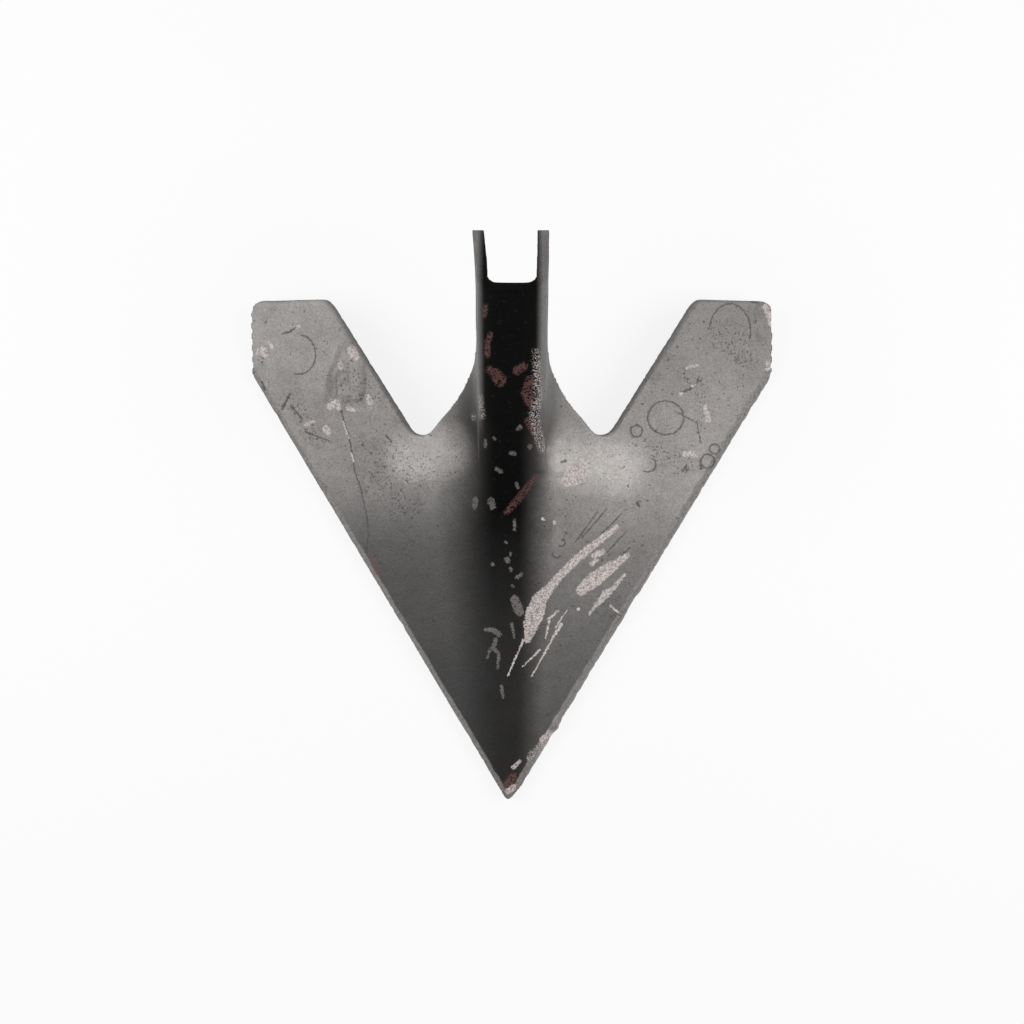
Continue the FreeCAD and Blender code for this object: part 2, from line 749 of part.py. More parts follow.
# ---------------------------------------------------------------- wear
# Plan positions on the left wing: off the centre line, and back from the nominal point.
TEAR = [(95.1, 255.8), (99.6, 246.0), (102.6, 235.5), (104.7, 230.4), (101.0, 230.9),
        (98.9, 235.4), (96.8, 240.2), (92.3, 239.3), (91.6, 245.5), (92.8, 251.0)]
LAP = [(91.7, 231.8), (91.4, 228.6), (88.2, 227.4), (84.6, 228.9), (82.3, 233.4),
       (81.9, 243.6), (83.8, 243.0), (84.6, 234.4), (86.4, 231.4), (88.9, 230.6)]
ABOVE = 1.0

for name, outline in (("tear", TEAR), ("lap", LAP)):
    sketch = wing_sketch(name + "_outline", -1, outline, [0.0] * len(outline), ABOVE)
    tools.append(sunk_plate(name, sketch, "sizes.%s_deep + %g" % (name, ABOVE)))

bruise = doc.addObject("Part::Sphere", "bruise")
bruise.setExpression("Radius", "sizes.bruise_radius")
bruise_spot = on_wing(1, half_span - size("bruise_side"), size("wing_rear") - size("bruise_back"))
bruise_lift = wing_normal(1) * (size("bruise_radius") - size("bruise_deep"))
bruise.Placement = FreeCAD.Placement(bruise_spot + bruise_lift, FreeCAD.Rotation())
tools.append(bruise)

nick = doc.addObject("Part::Cylinder", "nick")
nick.setExpression("Radius", "sizes.nick_radius")
nick.setExpression("Height", "sizes.plate_thick + 2 * sizes.cut_past")
nick_way, nick_out = edge_ways(1, blunt, right_corner)
nick_spot = blunt + nick_way * size("nick_along")
nick_spot += nick_out * (size("nick_radius") - size("nick_deep"))
nick_spot -= wing_normal(1) * size("cut_past")
nick.Placement = FreeCAD.Placement(
    nick_spot, FreeCAD.Rotation(nick_way, nick_out, wing_normal(1), "ZXY"))
tools.append(nick)

cutters = doc.addObject("Part::MultiFuse", "edge_cutters")
cutters.Shapes = tools

share = doc.addObject("Part::Cut", "share")
share.Base = blank
share.Tool = cutters
share.Label = "share"
share.Placement.Base = Vector(0.0, -size("origin_along"), 0.0)
doc.recompute()

# ---------------------------------------------------------------- checks, export
for item in doc.Objects:
    if "Invalid" in item.State or "Error" in item.State:
        raise RuntimeError("%s did not build: %s" % (item.Name, item.State))
    if hasattr(item, "Shape"):
        if item.Shape.isNull() or not item.Shape.isValid():
            raise RuntimeError("%s has no sound shape" % item.Name)
if len(share.Shape.Solids) != 1:
    raise RuntimeError("the share is not one solid")
share.Shape.exportStep("parts/share.step")
print("share", round(share.Shape.Volume), "mm3")
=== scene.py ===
import math

import bmesh
import bpy
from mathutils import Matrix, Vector, noise


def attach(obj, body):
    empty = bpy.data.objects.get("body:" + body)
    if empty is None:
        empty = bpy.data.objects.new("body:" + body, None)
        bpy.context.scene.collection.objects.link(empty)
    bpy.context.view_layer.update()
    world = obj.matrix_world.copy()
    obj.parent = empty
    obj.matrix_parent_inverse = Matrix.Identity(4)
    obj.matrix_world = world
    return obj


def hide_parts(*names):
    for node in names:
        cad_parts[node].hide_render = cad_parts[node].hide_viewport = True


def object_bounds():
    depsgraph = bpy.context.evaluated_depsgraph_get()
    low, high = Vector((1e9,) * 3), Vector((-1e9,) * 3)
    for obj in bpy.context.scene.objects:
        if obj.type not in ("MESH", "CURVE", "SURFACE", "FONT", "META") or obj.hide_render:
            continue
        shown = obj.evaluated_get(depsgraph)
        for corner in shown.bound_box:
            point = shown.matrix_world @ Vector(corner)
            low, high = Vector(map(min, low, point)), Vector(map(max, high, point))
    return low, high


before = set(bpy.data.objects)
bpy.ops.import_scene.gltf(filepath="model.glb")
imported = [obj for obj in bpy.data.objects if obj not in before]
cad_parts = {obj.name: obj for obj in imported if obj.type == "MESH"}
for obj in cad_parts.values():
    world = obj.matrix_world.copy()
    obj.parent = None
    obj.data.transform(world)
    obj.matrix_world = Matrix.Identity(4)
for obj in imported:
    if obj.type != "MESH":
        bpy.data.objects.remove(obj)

CAD_LOW, CAD_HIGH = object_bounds()

# ================================================================ sizes
# The share points along -Y, +Z is up and its cutting edges rest at Z = 0.
# Marks and patterns are given in millimetres, the meshes are in metres.
MM = 0.001
SKIN_GRID = 1.35

SOCKET_ANGLE = math.radians(50.0)
SOCKET_WAY = Vector((0.0, math.cos(SOCKET_ANGLE), math.sin(SOCKET_ANGLE)))
SOCKET_UP = Vector((0.0, -math.sin(SOCKET_ANGLE), math.cos(SOCKET_ANGLE)))
SOCKET_END = Vector((0.0, 121.3, 173.1))
SOCKET_DEEP = 46.0
LEG_LENGTH = 30.0
LEG_TIP_ROUND = 3.2
LEG_LEAN = 1.5
LEAN_FROM, LEAN_OVER = 22.0, 24.0

POINT = (-3.2, -153.8)
RIGHT_EDGE = ((4.6, -147.9), (148.8, 88.4))
LEFT_EDGE = (POINT, (-148.8, 89.8))


# ================================================================ the worn plate
# A groove is its spots, then its half width and depth; a minus depth stands proud.
GROOVES = {
    "crack along the crease": (
        [(14.6, 29.6), (11.9, 26.4), (7.5, 20.9), (3.1, 15.4), (-4.0, 8.0)], 1.9, 0.55),
    "lip pinched up beside the crease": ([(14.6, 33.5), (21.0, 31.5), (27.0, 33.0)], 2.4, -1.5),
    "hollow under that lip": ([(18.5, 27.0), (23.0, 26.6), (27.4, 27.4)], 2.6, 1.3),
    "fold running down from it": ([(20.5, 23.0), (18.0, 15.0), (13.0, 8.0)], 2.4, 0.4),
    "tear in the left wing": ([(-95.6, 100.0), (-99.2, 93.5), (-102.0, 85.0), (-104.5, 71.5)], 1.5, 1.1),
    "arm of the tear": ([(-101.6, 75.6), (-98.5, 83.0), (-94.7, 85.5)], 1.7, 1.0),
    "lip beside the tear": ([(-98.6, 99.0), (-102.6, 91.0), (-105.6, 82.0)], 1.6, -0.6),
    "curl of metal in the tear": ([(-99.0, 79.5), (-97.2, 72.0), (-96.0, 66.5)], 1.3, -0.8),
    "gap round the lap": (
        [(-82.4, 89.0), (-81.8, 79.0), (-84.0, 71.5), (-88.0, 68.5), (-92.5, 71.5)], 1.2, 1.2),
    "lap of metal": ([(-89.5, 89.0), (-88.0, 77.0)], 4.2, -0.9),
    "scar beside the lap": ([(-79.0, 84.0), (-77.0, 76.0), (-79.5, 71.0)], 2.2, 0.4),
    "fold at the struck corner": ([(138.0, 129.0), (136.6, 121.5), (138.4, 115.5), (137.4, 107.0)], 2.3, 1.0),
    "ridge at the struck corner": ([(141.6, 124.0), (141.2, 117.0), (142.8, 109.5)], 2.2, -0.7),
    "valley in the left wing": ([(-132.0, 126.0), (-136.5, 109.0)], 4.5, 0.5),
    "swell beside that valley": ([(-141.5, 126.0), (-143.0, 107.0)], 4.5, -0.35),
    "first scallop of the right inner edge": ([(85.5, 94.0), (83.2, 92.0)], 2.6, 0.7),
    "second scallop of the right inner edge": ([(79.6, 84.0), (76.8, 81.5)], 2.8, 0.7),
    "dent under the long scratch": ([(50.0, -7.0), (34.0, -21.0), (14.0, -45.0)], 4.5, 0.3),
    "dent under the second scratch": ([(42.0, -33.0), (60.0, -20.0)], 5.0, 0.3),
    "burr beside the nick": ([(24.0, -113.5), (25.2, -111.0)], 2.4, -1.2),
}

# A crater is its middle, radius and depth; its rim stands a quarter of the depth proud.
CRATERS = [
    ((115.7, 44.7), 2.6, 0.6), ((111.7, 37.8), 3.6, 0.8), ((-141.7, 100.0), 3.4, -0.7),
    ((-130.6, 68.5), 1.8, 0.7), ((-127.5, 71.0), 1.6, 0.5), ((-132.0, 85.6), 1.2, 0.5),
    ((25.3, -14.0), 2.0, 0.3), ((28.0, -8.5), 1.8, 0.3), ((71.4, 13.0), 2.2, 0.4),
    ((57.5, -46.5), 2.0, 0.4), ((28.2, -86.5), 1.6, 0.5), ((97.7, 32.6), 2.0, 0.4),
    ((34.6, 31.0), 7.0, 0.35), ((146.0, 92.0), 2.4, 0.4),
]

# Waviness of the top, each as its length and height.
WAVES = [(46.0, 0.22), (15.0, 0.1), (4.5, 0.05)]
HIDDEN_WAVE_LENGTH, HIDDEN_WAVE, HIDDEN_SINK = 15.0, 0.2, 0.15

STRUCK_CORNER, STRUCK_HALF_WIDTH = (147.0, 119.0), 4.5
BITE_REACH, BITE_DEPTH = 4.0, 1.1
BITE_LENGTH, BITE_FINE = 5.5, 2.2
FACING_UP = 0.15


def distance_to(spots, x, y):
    """Plan distance from a line through several spots."""
    nearest = math.inf
    for (x0, y0), (x1, y1) in zip(spots, spots[1:]):
        run_x, run_y = x1 - x0, y1 - y0
        along = ((x - x0) * run_x + (y - y0) * run_y) / (run_x ** 2 + run_y ** 2)
        along = min(1.0, max(0.0, along))
        nearest = min(nearest, math.hypot(x - x0 - run_x * along, y - y0 - run_y * along))
    return nearest


def bell(distance, half_width):
    """1 in the middle of a mark, falling smoothly to 0 at twice its half width."""
    part = min(1.0, distance / (2.0 * half_width))
    return (1.0 - part * part) ** 2


def crater_depth(distance, radius, depth):
    bowl = depth * bell(distance, 0.55 * radius)
    rim = 0.25 * depth * bell(abs(distance - radius), 0.3 * radius)
    return bowl - rim


def beside(spots, reach, x):
    """Whether a line through spots could be within reach, going by X alone."""
    across = [spot_x for spot_x, spot_y in spots]
    return min(across) - reach < x < max(across) + reach


def sink(spot):
    """How far a spot of the top skin is worn below the new plate, in millimetres."""
    x, y = spot.x, spot.y
    depth = sum(height * noise.noise(spot / length) for length, height in WAVES)
    for spots, half_width, groove in GROOVES.values():
        if beside(spots, 2.0 * half_width, x):
            rough = 1.0 + 0.35 * noise.noise(spot / 2.4)
            depth += groove * rough * bell(distance_to(spots, x, y), half_width)
    for (middle_x, middle_y), radius, bowl in CRATERS:
        away = math.hypot(x - middle_x, y - middle_y)
        if away < 2.0 * radius:
            depth += crater_depth(away, radius, bowl)
    from_corner = math.hypot(x - STRUCK_CORNER[0], y - STRUCK_CORNER[1])
    struck = bell(from_corner, STRUCK_HALF_WIDTH)
    depth += struck * (0.5 + 0.9 * noise.noise(spot / 2.0))
    return depth


def edge_distance(edge, x, y):
    """Plan distance inwards from a cutting edge."""
    (x0, y0), (x1, y1) = edge
    length = math.hypot(x1 - x0, y1 - y0)
    across = ((x - x0) * (y1 - y0) - (y - y0) * (x1 - x0)) / length
    return abs(across)


def edge_bite(spot):
    """Small bites along the cutting edges."""
    near = min(edge_distance(edge, spot.x, spot.y) for edge in (LEFT_EDGE, RIGHT_EDGE))
    if near > BITE_REACH:
        return 0.0
    uneven = noise.noise(spot / BITE_LENGTH) + 0.6 * noise.noise(spot / BITE_FINE)
    return BITE_DEPTH * max(0.0, uneven - 0.12) * (1.0 - near / BITE_REACH)


def socket_place(spot):
    """Along the socket from its end, and down from its crown."""
    away = spot - SOCKET_END
    return away.dot(SOCKET_WAY), -away.dot(SOCKET_UP)


def bend_legs(spot):
    """Rounds the free tips of the channel, and leans the left one out a little."""
    along, deep = socket_place(spot)
    if along < -LEG_LENGTH:
        return spot
    over_end = max(0.0, along + LEG_TIP_ROUND)
    over_edge = max(0.0, deep - SOCKET_DEEP + LEG_TIP_ROUND)
    past = math.hypot(over_end, over_edge) - LEG_TIP_ROUND
    if over_end > 0.0 and over_edge > 0.0 and past > 0.0:
        shrink = past / (past + LEG_TIP_ROUND)
        spot = spot - SOCKET_WAY * over_end * shrink + SOCKET_UP * over_edge * shrink
    if spot.x < 0.0:
        lean = max(0.0, (along + LEG_LENGTH) / LEG_LENGTH) * max(0.0, (deep - LEAN_FROM) / LEAN_OVER)
        spot = spot - Vector((LEG_LEAN * lean, 0.0, 0.0))
    return spot


def copied_plate():
    """A merged copy of the pressed plate, remade as one even skin of small faces."""
    skin = bpy.data.meshes.new("share_worn")
    work = bmesh.new()
    work.from_mesh(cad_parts["share"].data)
    bmesh.ops.remove_doubles(work, verts=work.verts, dist=0.01 * MM)
    work.to_mesh(skin)
    work.free()
    plate = bpy.data.objects.new("share_worn", skin)
    bpy.context.scene.collection.objects.link(plate)
    even = plate.modifiers.new("even skin", "REMESH")
    even.mode = "VOXEL"
    even.voxel_size = SKIN_GRID * MM
    even.use_smooth_shade = True
    drawn = plate.evaluated_get(bpy.context.evaluated_depsgraph_get())
    plate.data = bpy.data.meshes.new_from_object(drawn)
    plate.data.name = "share_worn"
    plate.modifiers.clear()
    return plate


def wear(plate):
    """Sinks the wear into the skin, and keeps it within the box of the plain part."""
    work = bmesh.new()
    work.from_mesh(plate.data)
    work.normal_update()
    for vertex in work.verts:
        spot = vertex.co / MM
        depth = edge_bite(spot)
        if vertex.normal.z > FACING_UP:
            depth += sink(spot)
        else:
            depth += HIDDEN_SINK + HIDDEN_WAVE * noise.noise(spot / HIDDEN_WAVE_LENGTH)
        worn_spot = bend_legs(spot - vertex.normal * depth) * MM
        vertex.co = [min(max(c, low), high) for c, low, high in zip(worn_spot, CAD_LOW, CAD_HIGH)]
    work.to_mesh(plate.data)
    work.free()


# ================================================================ marks in the paint
# Each trail is a line of (x, y, half width).
BARE_METAL = [
    [(59.3, 0.2, 1.3), (50.7, -6.6, 1.9), (42.7, -12.8, 2.2), (34.8, -19.6, 2.4), (26.8, -27.5, 2.0),
     (21.2, -34.2, 2.6), (15.5, -41.0, 4.2), (13.3, -47.8, 5.2), (11.0, -54.6, 4.4), (8.8, -63.7, 1.8)],
    [(39.4, -35.6, 3.0), (46.3, -29.9, 4.2), (55.4, -23.1, 3.4), (65.8, -15.8, 1.3)],
    [(64.1, -27.2, 0.8), (57.9, -34.6, 1.1), (53.3, -38.0, 2.4), (47.5, -44.8, 1.0), (44.1, -49.4, 0.7)],
    [(46.5, -16.0, 1.5), (51.0, -14.0, 1.7)],
    [(45.0, -21.0, 1.2), (48.0, -18.5, 1.0)],
    [(37.2, 38.0, 2.6), (39.0, 33.0, 3.0), (38.0, 28.0, 3.4), (31.5, 26.0, 3.0), (33.0, 31.0, 3.6)],
    [(98.0, 41.8, 1.4), (104.5, 41.6, 1.6)],
    [(109.6, 69.0, 1.0), (111.0, 64.5, 1.4), (111.6, 61.0, 1.6)],
    [(98.7, 90.1, 0.8), (105.0, 91.6, 0.6)],
    [(146.4, 91.0, 1.5), (146.2, 93.5, 1.3)],
    [(144.0, 125.5, 1.6), (146.6, 120.5, 1.6), (148.0, 115.0, 1.2)],
    [(-90.0, 99.5, 2.8), (-88.0, 96.0, 2.0)],
    [(-97.0, 90.5, 1.4), (-96.6, 92.5, 1.2)],
    [(-103.4, 68.5, 1.8), (-99.5, 71.0, 1.6), (-98.0, 67.5, 1.2)],
    [(-92.8, 67.5, 1.2), (-89.5, 66.5, 1.0)],
    [(-80.4, 71.0, 1.7), (-81.2, 74.0, 1.2)],
    [(-105.8, 55.8, 2.1), (-104.6, 53.6, 1.6)],
    [(-117.6, 58.5, 0.8), (-113.0, 60.2, 0.6)],
    [(-141.8, 100.4, 2.5), (-140.9, 98.8, 2.0)],
    [(-138.6, 105.2, 0.9), (-136.6, 102.6, 0.8)],
    [(-121.7, 113.4, 0.9), (-120.6, 113.6, 0.8)],
    [(-2.4, -151.0, 1.6), (1.0, -148.6, 1.6)],
    [(0.8, -137.0, 1.2), (4.6, -133.5, 0.9)],
    [(17.5, -121.5, 1.8), (21.5, -117.5, 1.6)],
]

# Thin bright scratches and single flecks.
FINE_BARE = [
    [(6.5, -63.7, 0.5), (-2.5, -84.2, 0.3)],
    [(15.6, -69.6, 0.5), (5.9, -79.1, 0.3)],
    [(28.1, -54.9, 0.8), (24.6, -60.5, 0.7)],
    [(24.6, -60.5, 0.5), (11.1, -84.4, 0.35)],
    [(21.2, -52.5, 0.6), (19.0, -62.7, 0.3)],
    [(26.5, -47.0, 0.5), (20.5, -52.0, 0.6)],
    [(37.4, -46.6, 0.7), (38.4, -46.2, 0.6)],
    [(17.1, 4.8, 0.8), (18.0, 4.2, 0.7)],
    [(23.9, 3.3, 0.7), (24.0, 2.4, 0.7)],
    [(56.0, -44.6, 0.6), (60.3, -48.4, 0.5)],
    [(-145.6, 98.5, 0.5), (-145.2, 101.5, 0.5)],
    [(-91.2, 42.0, 0.4), (-90.3, 37.5, 0.4)],
    [(-96.0, 60.0, 0.3), (-92.6, 50.8, 0.35)],
    [(102.0, 80.0, 0.5), (104.0, 81.0, 0.4)],
    [(95.6, 75.6, 0.8), (96.6, 75.9, 0.6)],
    [(24.6, -57.0, 0.4), (31.0, -47.5, 0.3)],
]

# Scale and primer that shows warm grey on the black.
SCABS = [
    [(-0.8, -14.3, 0.6), (-0.8, -16.0, 0.5)],
    [(-2.9, -18.2, 1.5), (-2.3, -18.8, 1.3)],
    [(-0.8, -23.3, 0.9), (-0.4, -24.0, 0.8)],
    [(2.6, -28.2, 0.8), (5.3, -26.2, 0.7)],
    [(0.3, -32.9, 0.6), (0.4, -33.4, 0.5)],
    [(1.4, -40.5, 2.3), (3.0, -45.0, 2.6), (4.6, -48.0, 2.0)],
    [(-11.0, -20.6, 0.9), (-10.6, -21.0, 0.8)],
    [(-0.3, -54.5, 0.8), (1.4, -62.4, 0.5)],
    [(-15.4, -58.0, 0.8), (-10.5, -58.0, 1.4), (-7.4, -60.5, 1.5)],
    [(-9.3, -63.7, 1.2), (-10.6, -68.3, 1.0), (-7.4, -71.7, 0.8), (-8.2, -79.7, 0.7)],
    [(-6.0, -90.0, 0.7), (-5.0, -97.0, 0.6)],
    [(-12.5, -69.0, 0.6), (-14.0, -74.0, 0.5)],
    [(1.4, 4.4, 0.7), (1.4, -1.2, 0.6)],
    [(-3.6, -8.1, 0.5), (-3.2, -8.6, 0.5)],
    [(-8.6, 32.4, 1.0), (-6.2, 31.0, 1.0)],
    [(-0.6, 41.0, 1.0), (1.6, 40.4, 0.9)],
    [(2.6, 24.2, 0.9), (3.4, 22.0, 0.8)],
    [(9.5, 44.0, 1.0), (10.2, 44.6, 0.8)],
    [(4.4, 54.4, 1.1), (3.2, 53.4, 0.9)],
    [(-20.3, 15.6, 1.4), (-21.0, 11.5, 1.2)],
    [(-11.6, 14.6, 2.0), (-10.6, 11.5, 1.6)],
    [(-14.4, 47.7, 0.8), (-14.6, 44.5, 0.7)],
    [(-10.0, 48.8, 0.7), (-9.4, 48.4, 0.6)],
]

RED_RUST = [
    [(-9.0, 81.6, 2.6), (-6.4, 78.6, 3.2)],
    [(-12.0, 83.6, 1.6), (-10.0, 82.4, 1.6)],
    [(2.6, 83.0, 2.0), (6.4, 85.4, 1.5)],
    [(9.4, 78.4, 2.0), (7.8, 71.6, 2.6), (9.2, 67.6, 2.2)],
    [(8.8, 57.6, 1.8), (11.4, 53.0, 1.8)],
    [(13.6, 28.6, 1.0), (8.0, 21.6, 1.7), (3.6, 16.0, 1.9), (-3.2, 8.4, 1.2)],
    [(-11.2, 100.6, 1.2), (-12.8, 97.0, 1.2), (-12.8, 91.0, 1.3)],
    [(-13.8, 114.0, 1.1), (-14.2, 110.0, 1.0)],
    [(-81.0, -16.0, 1.0), (-76.4, -27.0, 0.9)],
    [(-2.6, -147.0, 2.2), (0.6, -142.5, 2.0)],
]

# Bright speckles strewn along a band.
SPECKLE_BANDS = [
    [(12.6, 92.0, 1.6), (13.4, 79.4, 2.0), (13.8, 69.4, 1.8), (11.9, 62.3, 2.4), (12.9, 55.0, 2.4),
     (15.0, 47.7, 2.2), (16.5, 43.0, 1.8)],
    [(17.5, 43.2, 1.2), (24.8, 43.4, 1.2)],
    [(-17.3, 70.4, 0.9), (-16.2, 60.5, 1.3)],
    [(-21.4, 61.6, 0.8), (-21.0, 60.4, 0.8)],
    [(10.0, -131.5, 1.6), (19.5, -124.0, 3.0)],
    [(-46.0, 27.0, 1.0), (-43.5, 28.5, 0.9)],
]

PITTED = [
    [(-82.0, 44.0, 7.0), (-64.0, 36.0, 10.0), (-52.0, 30.0, 8.0)],
    [(-76.0, 25.0, 9.0), (-60.0, 12.0, 8.0)],
    [(-106.0, 88.0, 2.0), (-90.0, 80.0, 10.0), (-80.0, 74.0, 6.0)],
    [(96.0, 88.0, 3.0), (104.0, 82.0, 5.0), (110.0, 66.0, 4.0)],
    [(70.0, 48.0, 4.0), (98.0, 36.0, 6.0)],
    [(52.0, -40.0, 3.0), (60.0, -50.0, 4.0)],
    [(122.0, 108.0, 10.0), (134.0, 96.0, 6.0)],
    [(-112.0, 50.0, 5.0), (-126.0, 72.0, 4.0)],
]

# Dark hair lines: cracks, edges of blisters and old fine scratches.
HAIR_LINES = [
    [(-96.7, 66.5, 0.4), (-95.0, 58.6, 0.35), (-92.3, 50.7, 0.4), (-90.6, 40.5, 0.3), (-89.6, 32.6, 0.35),
     (-86.2, 22.4, 0.3), (-83.0, 8.0, 0.25), (-81.8, -4.0, 0.3), (-83.4, -15.0, 0.3)],
    [(-130.0, 110.2, 0.5), (-126.3, 110.6, 0.5), (-122.5, 113.2, 0.4)],
    [(-142.7, 83.0, 0.5), (-141.2, 78.5, 0.5)],
    [(-131.2, 67.6, 0.8), (-126.6, 76.0, 0.5)],
    [(-126.4, 69.6, 0.5), (-119.8, 62.0, 0.4)],
    [(-117.6, 54.4, 0.4), (-104.0, 49.0, 0.3)],
    [(48.3, 8.7, 0.25), (35.9, -8.2, 0.25)],
    [(62.1, 7.6, 0.3), (43.9, -10.5, 0.3)],
    [(54.0, 11.0, 0.25), (39.3, -6.0, 0.2)],
    [(64.5, -2.7, 0.3), (54.2, -14.0, 0.3)],
    [(66.9, -11.8, 0.3), (55.4, -22.0, 0.25)],
    [(96.0, 76.0, 0.6), (101.5, 79.0, 0.7), (104.8, 81.6, 0.6), (105.2, 83.6, 0.5)],
    [(97.2, 32.0, 0.6), (98.8, 34.4, 0.4)],
    [(108.2, 33.6, 0.7), (107.4, 37.6, 0.6)],
    [(28.0, 36.6, 0.7), (30.0, 37.2, 0.6)],
    [(71.0, 14.0, 0.6), (72.4, 12.0, 0.6)],
    [(105.0, 60.0, 0.25), (107.5, 48.0, 0.25)],
    [(92.0, 66.0, 0.25), (104.0, 60.0, 0.25)],
    [(20.6, -133.0, 0.6), (22.4, -131.4, 0.5)],
    [(-71.0, 52.0, 0.4), (-68.0, 48.0, 0.3)],
]

# Blister outlines: middle, half axes, and the way that the open side faces.
BLISTERS = [
    ((-121.0, 98.0), (9.8, 11.0), (-1.0, 0.2)),
    ((123.6, 111.0), (12.0, 15.5), (-0.2, -1.0)),
    ((87.0, 62.0), (10.4, 9.4), (0.0, 0.0)),
    ((70.3, 54.4), (3.4, 3.2), (0.0, 0.0)),
    ((76.6, 35.6), (5.0, 4.2), (-1.0, 0.6)),
    ((115.7, 44.7), (2.9, 2.8), (0.0, 0.0)),
    ((111.7, 37.8), (4.0, 3.9), (0.0, 0.0)),
    ((25.3, -15.0), (2.4, 2.2), (0.5, 1.0)),
    ((27.8, -8.6), (2.1, 2.0), (-1.0, 0.4)),
]


# ================================================================ looks
class Look:
    """A material whose patterns are laid out in millimetres on the share."""

    def __init__(self, name):
        self.material = bpy.data.materials.new(name)
        self.material.use_nodes = True
        self.tree = self.material.node_tree
        self.shader = self.tree.nodes["Principled BSDF"]
        spot = self.add("ShaderNodeTexCoord")
        self.place = self.vector("SCALE", spot.outputs["Object"], scale=1.0 / MM)
        self.flat = self.vector("MULTIPLY", self.place, (1.0, 1.0, 0.0))
        self.facing = spot.outputs["Normal"]

    def add(self, kind, **settings):
        node = self.tree.nodes.new(kind)
        for name, value in settings.items():
            setattr(node, name, value)
        return node

    def feed(self, socket, value):
        """Sets a socket to a constant, or links another node's output to it."""
        if isinstance(value, bpy.types.NodeSocket):
            self.tree.links.new(value, socket)
        else:
            socket.default_value = value

    def sum(self, operation, *values):
        node = self.add("ShaderNodeMath", operation=operation)
        for socket, value in zip(node.inputs, values):
            self.feed(socket, value)
        return node.outputs[0]

    def vector(self, operation, *values, scale=None):
        node = self.add("ShaderNodeVectorMath", operation=operation)
        for socket, value in zip(node.inputs, values):
            self.feed(socket, value)
        if scale is not None:
            self.feed(node.inputs["Scale"], scale)
        numbers = ("DOT_PRODUCT", "LENGTH", "DISTANCE")
        return node.outputs["Value" if operation in numbers else "Vector"]

    def step(self, value, low, high):
        """Runs smoothly from 0 at low to 1 at high."""
        node = self.add("ShaderNodeMapRange", interpolation_type="SMOOTHSTEP")
        self.feed(node.inputs["Value"], value)
        node.inputs["From Min"].default_value = low
        node.inputs["From Max"].default_value = high
        return node.outputs["Result"]

    def line(self, value, low, high, start=0.0, end=1.0):
        """Runs straight from start at low to end at high, and stays there."""
        node = self.add("ShaderNodeMapRange")
        self.feed(node.inputs["Value"], value)
        for name, number in (("From Min", low), ("From Max", high), ("To Min", start), ("To Max", end)):
            node.inputs[name].default_value = number
        return node.outputs["Result"]

    def ramp(self, value, stops):
        """A grey level read from a list of (place, level)."""
        node = self.add("ShaderNodeValToRGB")
        low, high = stops[0][0], stops[-1][0]
        self.feed(node.inputs["Fac"], self.line(value, low, high))
        elements = node.color_ramp.elements
        while len(elements) < len(stops):
            elements.new(0.5)
        for element, (place, level) in zip(elements, stops):
            element.position = (place - low) / (high - low)
            element.color = (level, level, level, 1.0)
        return node.outputs["Color"]

    def noise(self, size, detail=3.0, rough=0.55, shift=0.0):
        """Cloudy pattern whose patches are about as large as size."""
        place = self.vector("ADD", self.place, (shift, shift * 0.7, shift * 1.3))
        node = self.add("ShaderNodeTexNoise")
        self.feed(node.inputs["Vector"], place)
        node.inputs["Scale"].default_value = 1.0 / size
        node.inputs["Detail"].default_value = detail
        node.inputs["Roughness"].default_value = rough
        return node.outputs["Fac"]

    def jitter(self, patches_per_mm, reach):
        """Small shifts in the plan, at random from one spot to the next."""
        node = self.add("ShaderNodeTexNoise")
        self.feed(node.inputs["Vector"], self.place)
        node.inputs["Scale"].default_value = patches_per_mm
        node.inputs["Detail"].default_value = 3.0
        shift = self.vector("SUBTRACT", node.outputs["Color"], (0.5, 0.5, 0.5))
        return self.vector("MULTIPLY", shift, (reach, reach, 0.0))

    def blend(self, share, first, second):
        """Mixes two colours, from the first at 0 to the second at 1."""
        node = self.add("ShaderNodeMix", data_type="RGBA")
        self.feed(node.inputs[0], share)
        self.feed(node.inputs[6], first)
        self.feed(node.inputs[7], second)
        return node.outputs[2]

    def blend_numbers(self, share, first, second):
        node = self.add("ShaderNodeMix", data_type="FLOAT")
        self.feed(node.inputs[0], share)
        self.feed(node.inputs[2], first)
        self.feed(node.inputs[3], second)
        return node.outputs[0]

    def axis(self, vector, name):
        node = self.add("ShaderNodeSeparateXYZ")
        self.feed(node.inputs[0], vector)
        return node.outputs[name]


